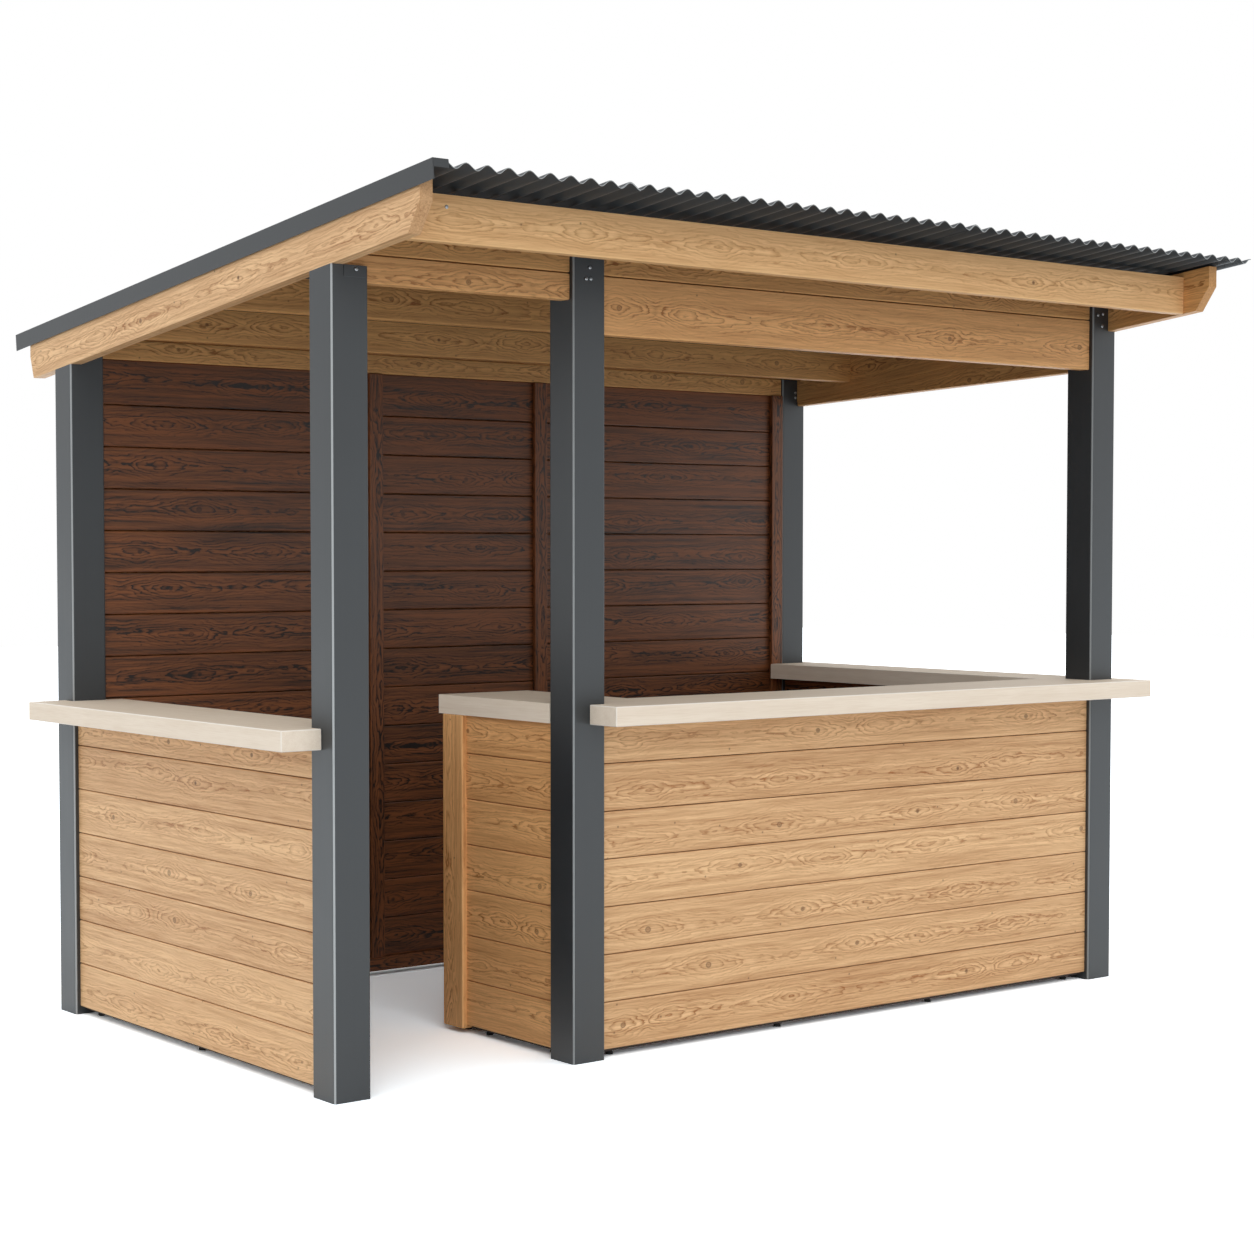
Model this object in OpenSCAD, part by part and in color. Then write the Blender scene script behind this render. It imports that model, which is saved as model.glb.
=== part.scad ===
// Market stall: five square steel posts, boarded counters on three sides with an entry at the
// front left, a boarded back wall, and a corrugated roof that falls to the back.
// Millimetres, +Z up, the front faces -Y. The origin is on the ground, under the middle of the box.

/* [Posts] */
// Side of the square steel posts
post_w = 120; // [90:1:160]
// Radius of the posts' rolled corners
post_r = 8; // [3:0.5:16]
// Width over the front posts' outer faces
stall_w = 3270; // [2600:10:4200]
// Depth over the posts' outer faces
stall_d = 1755; // [1500:5:2400]
// Clear width of the entry
entry_w = 712; // [600:1:900]

/* [Countertops] */
// Height of the front, return and right countertops
counter_h = 1078; // [950:1:1150]
// How much lower the left countertop lies
left_drop = 35; // [0:1:80]
// Thickness of the countertops
top_t = 60; // [30:1:80]
// Overhang of the left and front countertops outside the posts
top_out = 130; // [60:1:220]
// Overhang of the front and right countertops past the right posts
right_out = 56; // [40:1:200]
// Overhang of the countertops inside the posts
top_in = 65; // [30:1:120]
// How far a countertop's notched end runs along its post
top_lap = 60; // [20:1:80]
// Clearance of the countertops round the posts
top_gap = 0.5; // [0.2:0.1:3]
// Width of the return countertop
return_w = 350; // [240:5:450]
// Depth of the return behind the front posts
return_d = 575; // [400:5:800]
// Overhang of the return countertop past its end post
return_over = 20; // [0:1:60]
// Thickness of the return's wooden end post
end_post_d = 110; // [60:1:140]
// Radius of the end post's corners
end_post_r = 10; // [3:0.5:20]

/* [Panels] */
// Face width of the counters' boards
board_h = 145; // [100:1:200]
// Face width of the back wall's boards
wall_board_h = 140; // [100:1:200]
// Thickness of the outer boarding
cladding_t = 20; // [14:1:26]
// Thickness of the inner boarding
lining_t = 16; // [12:1:22]
// Depth of the V grooves between boards
groove_d = 4; // [2:0.5:8]
// Setback of the boarding from the posts' faces
panel_inset = 17; // [5:1:30]
// Height of the boarding's bottom edge
panel_lift = 27; // [20:1:60]
// Height of the rails inside the panels
rail_h = 60; // [40:1:90]
// Height of the pads under the rails
pad_h = 16; // [6:1:18]
// Length of the pads
pad_l = 36; // [20:1:120]
// Distance from a panel's end to its first pad
pad_end = 45; // [10:1:120]

/* [Back wall] */
// Clear width of the left bay of boards
bay_left = 1035; // [600:5:1300]
// Clear width of the middle bay of boards
bay_middle = 677; // [400:1:900]
// Width of the battens over the boards
batten_w = 58; // [30:1:90]
// Thickness of the battens
batten_t = 20; // [10:1:24]
// Height of the plinth under the back wall's inner boards
plinth_h = 51; // [40:1:120]
// How far the plinth stands out from those boards
plinth_t = 15; // [8:1:20]
// Height of the beam on the wall
back_beam_h = 67; // [40:1:120]
// Setback of that beam from the back posts' front faces
back_beam_inset = 8; // [0:1:20]
// Open gap between that beam and the roof
vent_gap = 41; // [20:1:90]

/* [Roof frame] */
// Height of the roof plane over the front posts' front faces
roof_z = 2466; // [2300:1:2700]
// Fall of the roof to the back, in degrees
pitch = 6; // [4:0.25:10]
// Depth of the sloping rake boards
rake_h = 142; // [100:1:200]
// Thickness of the rake boards
rake_t = 40; // [25:1:50]
// Reach of the rake boards in front of the posts
rake_front = 440; // [380:1:700]
// Reach of the rake boards behind the back posts
rake_rear = 187; // [120:1:400]
// Plumb length at the rake boards' ends, above the slanting cut
rake_plumb = 68; // [30:1:80]
// How far the slanting cut runs back at the front end
rake_cut_front = 56; // [0:1:90]
// How far the slanting cut runs back at the rear end
rake_cut_rear = 25; // [0:1:60]
// Depth of the fascia boards
fascia_h = 128; // [90:1:160]
// Open gap between the front fascia board and the roof plane
fascia_gap = 16; // [0:1:30]
// Thickness of the fascia boards
fascia_t = 38; // [20:1:50]
// Distance from the rake boards' front ends to the front fascia
fascia_inset = 106; // [80:1:200]
// Distance from the rake boards' rear ends to the rear fascia
rear_fascia_inset = 45; // [30:1:70]
// Setback of the headers from the front posts' faces
header_inset = 16; // [0:1:30]
// Thickness of the headers and the plates on them
header_t = 45; // [30:1:70]
// Depth of the header over the entry
entry_header_h = 81; // [60:1:140]
// Depth of the header over the front counter
counter_header_h = 177; // [120:1:240]
// Depth of the plates, from the headers to the roof plane
plate_h = 100; // [60:1:110]
// Distance of the front purlin behind the front posts' faces
purlin_front_y = 800; // [400:5:900]
// Clear distance from the rear purlin to the back posts' front faces
purlin_rear_gap = 270; // [60:5:500]
// Depth of the purlins
purlin_h = 105; // [80:1:160]
// Thickness of the purlins
purlin_t = 45; // [30:1:70]
// Depth of the right gable board at the front post
gable_front_h = 123; // [60:1:220]
// Depth of the right gable board at the back post
gable_rear_h = 15; // [10:1:80]

/* [Roof sheets] */
// Pitch of the corrugation
wave_p = 68; // [50:1:90]
// Depth of the corrugation
wave_d = 18; // [12:1:28]
// Thickness of the sheets
sheet_t = 2; // [1:0.25:4]
// Reach of the sheets in front of the posts' faces
sheet_front = 512; // [460:1:800]
// Reach of the sheets behind the back posts
sheet_rear = 286; // [200:1:450]
// Overhang of the sheets past the left rake board
sheet_left = 4; // [0:0.5:20]
// Overhang of the sheets past the right rake board
sheet_right = 95; // [20:1:200]
// Whole waves in the left sheet
left_waves = 10; // [6:1:14]
// Whole waves in the middle sheet
middle_waves = 19; // [10:1:24]
// Clearance between the sheets, the trim and the roof frame
sheet_gap = 0.3; // [0.2:0.1:1]
// Thickness of the verge trim on the left edge
trim_t = 3; // [2:0.5:6]
// Width of the verge trim over the sheet
trim_w = 50; // [20:1:100]
// How far the verge trim covers the rake board
trim_down = 32; // [4:1:60]

/* [Hidden] */
STEEL = "#474c4f";
OAK = "#c99d6b";
STAINED = "#55311f";
TOP = "#dfd3c3";
SHEET = "#34383a";
PAD = "#1d1d1d";

// Steps of a quarter turn on rounded corners, and of one wave of the roof
corner_steps = 4;
wave_steps = 10;

// Posts in plan, from the left posts' outer faces and the front posts' front faces
entry_x = post_w + entry_w;
right_x = stall_w - post_w;
back_y = stall_d - post_w;

// Inner and outer faces of the boarding and of the rails between, across a panel
frame_in = panel_inset + cladding_t;
frame_out = post_w - panel_inset - lining_t;
top_under = counter_h - top_t;
left_under = top_under - left_drop;

// The return's end post in plan
end_post_y = post_w + return_d - end_post_d;

// The roof plane and the rake boards' underside at a distance behind the front posts' faces
function roof_at(y) = roof_z - y * tan(pitch);
function rake_under(y) = roof_at(y) - rake_h / cos(pitch);
rake_y0 = -rake_front;
rake_y1 = stall_d + rake_rear;
purlin_rear_y = back_y - purlin_rear_gap - purlin_t;

// Headers and plates
header_y = header_inset + header_t;
header_top = roof_at(header_y) - plate_h;
front_left_top = rake_under(0);

// Back wall
beam_y0 = back_y + back_beam_inset;
beam_y1 = stall_d - panel_inset;
beam_top = roof_at(beam_y1) - vent_gap;
wall_top = beam_top - back_beam_h;
lining_face = back_y + panel_inset;
plinth_top = pad_h + plinth_h;

// Sheets across the roof, in the roof plane
sheet_x0 = -sheet_left;
lap_left = sheet_x0 + left_waves * wave_p;
lap_right = lap_left + middle_waves * wave_p;
sheet_x1 = stall_w + sheet_right;
sheet_lift = sheet_t + sheet_gap;
trim_top = sheet_gap + wave_d + sheet_lift + trim_t;
roof_top = max(trim_top, sheet_gap + sheet_lift + wave_d + sheet_t);

// Middle of the whole box in plan
box_x0 = -max(top_out, sheet_left + sheet_gap + trim_t);
box_x1 = stall_w + max(right_out, sheet_right);
box_y0 = -sheet_front - trim_down * sin(pitch);
box_y1 = stall_d + sheet_rear + roof_top * sin(pitch);
mid_x = (box_x0 + box_x1) / 2;
mid_y = (box_y0 + box_y1) / 2;

// Shifts a piece from the posts' plan to the part's own origin
module placed() {
  translate([-mid_x, -mid_y, 0]) children();
}

// A bar along X from x0 to x1, with its section given as [y, z] points
module bar_x(x0, x1, section) {
  translate([x0, 0, 0]) rotate([90, 0, 90]) linear_extrude(x1 - x0) polygon(section);
}

// A bar along Y from y0 to y1, with its section given as [x, z] points
module bar_y(y0, y1, section) {
  translate([0, y1, 0]) rotate([90, 0, 0]) linear_extrude(y1 - y0) polygon(section);
}

// A block from one corner to the other
module block(from, to) {
  translate(from) cube(to - from);
}

// Outline of a rectangle with rounded corners
function round_rect(w, d, r) = [
  for (corner = [[w - r, d - r, 0], [r, d - r, 90], [r, r, 180], [w - r, r, 270]])
    for (k = [0:corner_steps])
      let (a = corner[2] + 90 * k / corner_steps)
        [corner[0] + r * cos(a), corner[1] + r * sin(a)]
];

// Section of boarding with V grooves: its face, the way its thickness runs, and its height
function boarding(face, way, t, z0, z1, board) =
  let (grooves = round((z1 - z0) / board) - 1)
  concat(
    [[face, z0]],
    [for (k = [1:1:grooves]) for (p = [[0, -groove_d], [groove_d, 0], [0, groove_d]])
      [face + way * p[0], z0 + k * board + p[1]]],
    [[face, z1], [face + way * t, z1], [face + way * t, z0]]
  );

// Starts of a row of pads between a panel's two ends
function pad_row(from, to, count) = [
  for (k = [0:count - 1])
    from + pad_end + k * (to - from - 2 * pad_end - pad_l) / (count - 1)
];

// Section of a cross member whose top follows the roof plane, at a gap below it
function under_roof(y0, y1, z0, gap = 0) =
  [[y0, z0], [y1, z0], [y1, roof_at(y1) - gap], [y0, roof_at(y0) - gap]];

// A post in plan from the ground up, cut off by the solid that follows it
module post_shaft(x, y) {
  color(STEEL) placed() difference() {
    translate([x, y, 0]) linear_extrude(roof_z) polygon(round_rect(post_w, post_w, post_r));
    children();
  }
}

// What lies over a sloping line across one post
module over_slope(x0, x1, y, heights) {
  z1 = roof_z + post_w;
  bar_x(x0, x1, [[y, heights[0]], [y + post_w, heights[1]], [y + post_w, z1], [y, z1]]);
}

// What lies over the rake board's underside at a post
module over_rake(x0, x1, y) {
  over_slope(x0, x1, y, [rake_under(y), rake_under(y + post_w)]);
}

// What lies over the roof plane at a post
module over_roof(x0, x1, y) {
  over_slope(x0, x1, y, [roof_at(y), roof_at(y + post_w)]);
}

module post_front_left() {
  post_shaft(0, 0) {
    over_rake(0, rake_t, 0);
    over_slope(rake_t, post_w, 0, [front_left_top, front_left_top]);
  }
}

module post_entry() {
  post_shaft(entry_x, 0) over_roof(entry_x, entry_x + post_w, 0);
}

module post_front_right() {
  post_shaft(right_x, 0) {
    over_roof(right_x, stall_w - rake_t, 0);
    over_rake(stall_w - rake_t, stall_w, 0);
  }
}

module post_back_left() {
  post_shaft(0, back_y) {
    over_rake(0, rake_t, back_y);
    over_slope(rake_t, post_w, back_y, [beam_top, beam_top]);
  }
}

module post_back_right() {
  post_shaft(right_x, back_y) {
    over_slope(right_x, stall_w - rake_t, back_y, [beam_top, beam_top]);
    over_rake(stall_w - rake_t, stall_w, back_y);
  }
}

// A countertop with its underside at z and its outline drawn by its children
module countertop(z) {
  color(TOP) placed() translate([0, 0, z]) linear_extrude(top_t) children();
}

// The room that a post takes out of a countertop
module post_hole(x, y) {
  translate([x - top_gap, y - top_gap]) square(post_w + 2 * top_gap);
}

// The room that the back wall takes, from a face at y
module wall_room(y) {
  translate([post_w, y - top_gap]) square([right_x - post_w, post_w]);
}

// The left countertop's inner overhang starts behind the front post
module left_countertop() {
  y0 = post_w - top_lap;
  y1 = back_y + top_lap;
  notch = post_w + top_gap;
  inner_x = post_w + top_in;
  countertop(left_under) difference() {
    polygon([
      [-top_out, y0], [notch, y0], [notch, notch], [inner_x, notch], [inner_x, y1], [-top_out, y1]
    ]);
    post_hole(0, 0);
    post_hole(0, back_y);
    wall_room(lining_face);
  }
}

module front_countertop() {
  x0 = entry_x + top_lap;
  x1 = stall_w + right_out;
  inner_y = post_w + top_in;
  return_x = entry_x + return_w;
  countertop(top_under) difference() {
    polygon([
      [x0, -top_out], [x1, -top_out], [x1, inner_y], [return_x, inner_y], [return_x, post_w], [x0, post_w]
    ]);
    post_hole(entry_x, 0);
    post_hole(right_x, 0);
  }
}

module right_countertop() {
  x0 = right_x - top_in;
  y0 = post_w + top_in;
  countertop(top_under) difference() {
    translate([x0, y0]) square([stall_w + right_out - x0, back_y + top_lap - y0]);
    post_hole(right_x, back_y);
    wall_room(lining_face - batten_t);
  }
}

module return_countertop() {
  countertop(top_under) difference() {
    translate([entry_x, post_w]) square([return_w, return_d + return_over]);
    post_hole(entry_x, 0);
  }
}

module left_cladding() {
  color(OAK) placed()
    bar_y(post_w, back_y, boarding(panel_inset, 1, cladding_t, panel_lift, left_under, board_h));
}

module front_cladding() {
  color(OAK) placed()
    bar_x(entry_x + post_w, right_x,
      boarding(panel_inset, 1, cladding_t, panel_lift, top_under, board_h));
}

module right_cladding() {
  color(OAK) placed()
    bar_y(post_w, back_y,
      boarding(stall_w - panel_inset, -1, cladding_t, panel_lift, top_under, board_h));
}

module return_cladding() {
  color(OAK) placed()
    bar_y(post_w, end_post_y,
      boarding(entry_x + panel_inset, 1, cladding_t, panel_lift, top_under, board_h));
}

module back_cladding() {
  color(OAK) placed()
    bar_x(post_w, right_x,
      boarding(stall_d - panel_inset, -1, cladding_t, panel_lift, wall_top, wall_board_h));
}

module left_lining() {
  color(STAINED) placed()
    bar_y(post_w, back_y,
      boarding(post_w - panel_inset, -1, lining_t, panel_lift, left_under, board_h));
}

module front_lining() {
  color(STAINED) placed()
    bar_x(entry_x + post_w, right_x,
      boarding(post_w - panel_inset, -1, lining_t, panel_lift, top_under, board_h));
}

module right_lining() {
  color(STAINED) placed()
    bar_y(post_w, back_y,
      boarding(right_x + panel_inset, 1, lining_t, panel_lift, top_under, board_h));
}

module return_lining() {
  color(STAINED) placed()
    bar_y(post_w, end_post_y,
      boarding(entry_x + post_w - panel_inset, -1, lining_t, panel_lift, top_under, board_h));
}

module back_lining() {
  color(STAINED) placed()
    bar_x(post_w, right_x,
      boarding(lining_face, 1, lining_t, plinth_top, wall_top, wall_board_h));
}

// The bottom and top rails of a panel whose plan runs from one corner to the other
module rails(from, to, under) {
  color(STAINED) placed()
    for (z = [pad_h, under - rail_h]) block([from[0], from[1], z], [to[0], to[1], z + rail_h]);
}

module left_rails() {
  rails([frame_in, post_w], [frame_out, back_y], left_under);
}

module front_rails() {
  rails([entry_x + post_w, frame_in], [right_x, frame_out], top_under);
}

module right_rails() {
  rails([stall_w - frame_out, post_w], [stall_w - frame_in, back_y], top_under);
}

module return_rails() {
  rails([entry_x + frame_in, post_w], [entry_x + frame_out, end_post_y], top_under);
}

module back_rails() {
  rails([post_w, stall_d - frame_out], [right_x, stall_d - frame_in], wall_top);
}

// Pads under a panel that runs along X, from x0 to x1, with its rail between y0 and y1
module pads_x(x0, x1, y0, y1, count) {
  color(PAD) placed()
    for (x = pad_row(x0, x1, count)) block([x, y0, 0], [x + pad_l, y1, pad_h]);
}

// Pads under a panel that runs along Y, from y0 to y1, with its rail between x0 and x1
module pads_y(y0, y1, x0, x1, count) {
  color(PAD) placed()
    for (y = pad_row(y0, y1, count)) block([x0, y, 0], [x1, y + pad_l, pad_h]);
}

module left_pads() {
  pads_y(post_w, back_y, frame_in, frame_out, 3);
}

module front_pads() {
  pads_x(entry_x + post_w, right_x, frame_in, frame_out, 4);
}

module right_pads() {
  pads_y(post_w, back_y, stall_w - frame_out, stall_w - frame_in, 3);
}

module return_pads() {
  pads_y(post_w, end_post_y, entry_x + frame_in, entry_x + frame_out, 2);
  pad_y = end_post_y + (end_post_d - pad_l) / 2;
  color(PAD) placed()
    block([entry_x + frame_in, pad_y, 0], [entry_x + frame_out, pad_y + pad_l, pad_h]);
}

module back_pads() {
  pads_x(post_w, right_x, stall_d - frame_out, stall_d - frame_in, 5);
}

module return_end_post() {
  color(OAK) placed()
    translate([entry_x, end_post_y, pad_h])
      linear_extrude(top_under - pad_h) polygon(round_rect(post_w, end_post_d, end_post_r));
}

// The plinth carries the back wall's inner boards and battens
module back_plinth() {
  color(STAINED) placed()
    block([post_w, lining_face - plinth_t, pad_h], [right_x, lining_face + lining_t, plinth_top]);
}

module back_battens() {
  x1 = post_w + bay_left;
  x2 = x1 + batten_w + bay_middle;
  color(STAINED) placed()
    for (x = [x1, x2, right_x - batten_w])
      block([x, lining_face - batten_t, plinth_top], [x + batten_w, lining_face, wall_top]);
}

module back_beam() {
  color(OAK) placed() block([post_w, beam_y0, wall_top], [right_x, beam_y1, beam_top]);
}

// The header over the entry is notched over the shorter front left post
module entry_header() {
  z0 = header_top - entry_header_h;
  color(OAK) placed() bar_y(header_inset, header_y, [
    [rake_t, front_left_top], [post_w, front_left_top], [post_w, z0],
    [entry_x, z0], [entry_x, header_top], [rake_t, header_top]
  ]);
}

module counter_header() {
  color(OAK) placed()
    block([entry_x + post_w, header_inset, header_top - counter_header_h], [right_x, header_y, header_top]);
}

module entry_plate() {
  color(OAK) placed() bar_x(rake_t, entry_x, under_roof(header_inset, header_y, header_top));
}

module counter_plate() {
  color(OAK) placed()
    bar_x(entry_x + post_w, right_x, under_roof(header_inset, header_y, header_top));
}

// A tapered board under the right rake, from the front post to the back one
module right_gable_board() {
  color(OAK) placed() bar_x(stall_w - rake_t, stall_w, [
    [post_w, rake_under(post_w) - gable_front_h], [back_y, rake_under(back_y) - gable_rear_h],
    [back_y, rake_under(back_y)], [post_w, rake_under(post_w)]
  ]);
}

// A purlin between the rake boards, with its front face at y
module purlin(y) {
  color(OAK) placed()
    bar_x(rake_t, stall_w - rake_t, under_roof(y, y + purlin_t, roof_at(y + purlin_t) - purlin_h));
}

module purlin_front() {
  purlin(purlin_front_y);
}

module purlin_rear() {
  purlin(purlin_rear_y);
}

// A sloping rake board with plumb ends that are cut back below
module rake(x) {
  front_y = rake_y0 + rake_cut_front;
  rear_y = rake_y1 - rake_cut_rear;
  color(OAK) placed() bar_x(x, x + rake_t, [
    [rake_y0, roof_at(rake_y0)], [rake_y0, roof_at(rake_y0) - rake_plumb],
    [front_y, rake_under(front_y)], [rear_y, rake_under(rear_y)],
    [rake_y1, roof_at(rake_y1) - rake_plumb], [rake_y1, roof_at(rake_y1)]
  ]);
}

module left_rake() {
  rake(0);
}

module right_rake() {
  rake(stall_w - rake_t);
}

// A fascia board between the rake boards, with its front face at y, at a gap below the roof
module fascia(y, gap) {
  z0 = roof_at(y) - gap - fascia_h;
  color(OAK) placed()
    bar_x(rake_t, stall_w - rake_t, under_roof(y, y + fascia_t, z0, gap));
}

module front_fascia() {
  fascia(rake_y0 + fascia_inset, fascia_gap);
}

module rear_fascia() {
  fascia(rake_y1 - rear_fascia_inset - fascia_t, 0);
}

// Sets a piece on the roof plane: its XZ section runs from the front edge of the roof to the rear
module on_roof(section) {
  color(SHEET) placed()
    translate([0, 0, roof_z]) rotate([-pitch, 0, 0])
      bar_y(-sheet_front / cos(pitch), (stall_d + sheet_rear) / cos(pitch), section);
}

// Underside of the corrugation at x, with a valley on the roof's left edge
function wave_at(x) = wave_d / 2 * (1 - cos(360 * (x - sheet_x0) / wave_p));

// Section of a corrugated sheet from x0 to x1, lifted over what it lies on
function corrugated(x0, x1, lift) =
  let (
    count = ceil((x1 - x0) / wave_p * wave_steps),
    xs = [for (k = [0:count]) min(x0 + k * wave_p / wave_steps, x1)]
  )
  concat(
    [for (x = xs) [x, lift + wave_at(x)]],
    [for (k = [count:-1:0]) [xs[k], lift + wave_at(xs[k]) + sheet_t]]
  );

module roof_sheet_left() {
  on_roof(corrugated(sheet_x0, lap_left, sheet_gap));
}

// The middle sheet laps one wave over the sheets beside it
module roof_sheet_middle() {
  on_roof(corrugated(lap_left - wave_p, lap_right + wave_p, sheet_gap + sheet_lift));
}

module roof_sheet_right() {
  on_roof(corrugated(lap_right, sheet_x1, sheet_gap));
}

// An angle over the sheets' left edge
module left_verge_trim() {
  x1 = sheet_x0 - sheet_gap;
  x0 = x1 - trim_t;
  on_roof([
    [x0, -trim_down], [x1, -trim_down], [x1, trim_top - trim_t],
    [x0 + trim_w, trim_top - trim_t], [x0 + trim_w, trim_top], [x0, trim_top]
  ]);
}

post_front_left();
post_entry();
post_front_right();
post_back_left();
post_back_right();
left_countertop();
front_countertop();
right_countertop();
return_countertop();
left_cladding();
front_cladding();
right_cladding();
return_cladding();
back_cladding();
left_lining();
front_lining();
right_lining();
return_lining();
back_lining();
left_rails();
front_rails();
right_rails();
return_rails();
back_rails();
left_pads();
front_pads();
right_pads();
return_pads();
back_pads();
return_end_post();
back_plinth();
back_battens();
back_beam();
entry_header();
counter_header();
entry_plate();
counter_plate();
right_gable_board();
purlin_front();
purlin_rear();
left_rake();
right_rake();
front_fascia();
rear_fascia();
roof_sheet_left();
roof_sheet_middle();
roof_sheet_right();
left_verge_trim();
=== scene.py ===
# A market stall: boarded counters, steel posts, a timber roof frame and a corrugated roof

import math
import random

import bmesh
import bpy
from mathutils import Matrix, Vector


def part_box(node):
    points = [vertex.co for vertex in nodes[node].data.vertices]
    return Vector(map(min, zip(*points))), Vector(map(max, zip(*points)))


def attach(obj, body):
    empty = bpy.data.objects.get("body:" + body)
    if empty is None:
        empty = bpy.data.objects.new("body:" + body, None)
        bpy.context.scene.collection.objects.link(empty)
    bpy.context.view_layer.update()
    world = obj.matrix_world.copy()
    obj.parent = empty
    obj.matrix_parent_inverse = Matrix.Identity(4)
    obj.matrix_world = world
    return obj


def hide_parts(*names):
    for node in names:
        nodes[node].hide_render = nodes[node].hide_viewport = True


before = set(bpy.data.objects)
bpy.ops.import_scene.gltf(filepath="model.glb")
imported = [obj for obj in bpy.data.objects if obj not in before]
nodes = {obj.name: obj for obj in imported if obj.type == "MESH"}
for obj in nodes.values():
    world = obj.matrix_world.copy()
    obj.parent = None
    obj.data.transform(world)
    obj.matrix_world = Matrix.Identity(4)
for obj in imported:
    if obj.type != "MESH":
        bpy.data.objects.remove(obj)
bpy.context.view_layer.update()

chance = random.Random(11)

# Sizes in metres
BOARD = 0.145
WALL_BOARD = 0.140
BOARD_GAP = 0.0024
BOARD_CHAMFER = 0.0034
BEAM_EDGE = 0.004
HEADER_GAP = 0.003
TOP_EDGE = 0.003
TOP_GAP = 0.0005
POST_RADIUS = 0.008
END_POST_RADIUS = 0.005
RAKE_PLUMB = 0.068
RAKE_CUT_FRONT = 0.056
RAKE_CUT_REAR = 0.025
GABLE_FRONT = 0.123
WAVE = 0.068
WAVE_DEPTH = 0.018
SHEET = 0.002
SHEET_GAP = 0.0003
LAP_LIFT = 2 * SHEET_GAP + SHEET
TRIM = 0.003
FLAP = 0.0012
SCREW = 0.0055
SCREW_RISE = 0.003
SCREW_DOME = 0.0021
RECESS_RIM = 0.0011
RECESS_DEPTH = 0.0018
PLATE = 0.002
PLATE_HEIGHT = 0.033
FOOT = 0.012
FOOT_EDGE = 0.001
WASHER = 0.0065
WASHER_RISE = 0.003
HEAD_RISE = 0.004

# A length past any piece nearby, for cutters, and the lengths under which points count as one
FAR = 1.0
TOUCH = 1e-5
WELD = 0.0005

# Counts: steps in a wave of the roof, the wave of the first roof screw, and waves to the next one
WAVE_STEPS = 12
FIRST_SCREW_WAVE = 2
SCREW_WAVES = 3

# Angles in degrees: what counts as a sharp edge, and up to which edges are shaded smooth
SHARP = 30
SMOOTH_EDGES = 35
SMOOTH_POSTS = 25
SMOOTH_ROUNDS = 40

# How squarely a face or an edge points along a direction, as a cosine
ALIGNED = 0.999
FACING = 0.9
CORNER_FACING = 0.93
END_FACING = 0.7

# How far the sheets' front cut edges are mixed toward bright steel, from 0 to 1: bare metal with a painted
# highlight
CUT_EDGE = 0.5

# Screws on front faces: the node, what lies under the heads, and places from its left edge and top
SCREW_PLACES = (
    ("front_fascia", 0.0, ((0.115, 0.034),)),
    ("post_front_left", PLATE, ((0.080, 0.011),)),
    ("post_entry", 0.0, ((0.062, 0.089), (0.048, 0.123), (0.065, 0.122))),
    ("post_front_right", 0.0, ((0.025, 0.089), (0.052, 0.084), (0.047, 0.127))),
    ("post_back_right", 0.0, ((0.070, 0.052), (0.070, 0.072))),
)

# The roof plane and the rake boards' underside, from the posts and the left rake board
entry_lo, entry_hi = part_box("post_entry")
short_lo, short_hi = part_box("post_front_left")
rake_lo, rake_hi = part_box("left_rake")
FALL = (rake_hi.z - entry_hi.z) / (entry_lo.y - rake_lo.y)
PITCH = math.atan(FALL)
RAKE_DROP = entry_hi.z - short_hi.z
RAKE = rake_hi.x - rake_lo.x

ALONG_X, ALONG_Y, UP = Vector((1, 0, 0)), Vector((0, 1, 0)), Vector((0, 0, 1))
DOWN_ROOF = Vector((0, math.cos(PITCH), -math.sin(PITCH)))
OFF_ROOF = Vector((0, math.sin(PITCH), math.cos(PITCH)))
FRONT_CORNER = Vector((-1, -1, 0)).normalized()


def roof_at(y):
    """Height of the roof plane at a depth."""
    return entry_hi.z - (y - entry_lo.y) * FALL


def rake_under(y):
    """Height of the rake boards' underside at a depth."""
    return roof_at(y) - RAKE_DROP


# Shader maths

def sums(operation):
    """A Math node for an operator, and for the same operator with its sides swapped."""

    def forward(self, other):
        return self.node("Math", {"operation": operation}, {0: self, 1: other})

    def swapped(self, other):
        return self.node("Math", {"operation": operation}, {0: other, 1: self})

    return forward, swapped


class Shade:
    """A shader socket that can be used in sums."""

    __add__, __radd__ = sums("ADD")
    __sub__, __rsub__ = sums("SUBTRACT")
    __mul__, __rmul__ = sums("MULTIPLY")
    __truediv__, __rtruediv__ = sums("DIVIDE")
    __pow__, __rpow__ = sums("POWER")

    def __init__(self, tree, socket=None):
        self.tree = tree
        self.socket = socket

    def node(self, kind, settings, sockets, out=0):
        """Adds a node of a type: its settings first, then its sockets' values or links."""
        made = self.tree.nodes.new("ShaderNode" + kind)
        for name, value in settings.items():
            if name == "stops":
                elements = made.color_ramp.elements
                elements[0].position = value[0][0]
                elements[-1].position = value[-1][0]
                for place, _ in value[1:-1]:
                    elements.new(place)
                for stop, (_, level) in zip(elements, value):
                    stop.color = (level, level, level, 1)
            else:
                setattr(made, name, value)
        for name, value in sockets.items():
            if isinstance(value, Shade):
                self.tree.links.new(value.socket, made.inputs[name])
            else:
                made.inputs[name].default_value = value
        return Shade(self.tree, made.outputs[out] if made.outputs else None)

    def other(self, out):
        """Another output of the same node."""
        return Shade(self.tree, self.socket.node.outputs[out])


def linear(level):
    """A screen level, from 0 to 255, as the linear one that shaders take."""
    share = level / 255
    return share / 12.92 if share <= 0.04045 else ((share + 0.055) / 1.055) ** 2.4


def paint(red, green, blue):
    """A screen colour as a linear one."""
    return [linear(red), linear(green), linear(blue), 1]


def start_material(name):
    """An empty material, and the start of its node tree."""
    material = bpy.data.materials.new(name)
    material.use_nodes = True
    material.node_tree.nodes.clear()
    return material, Shade(material.node_tree)


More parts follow.
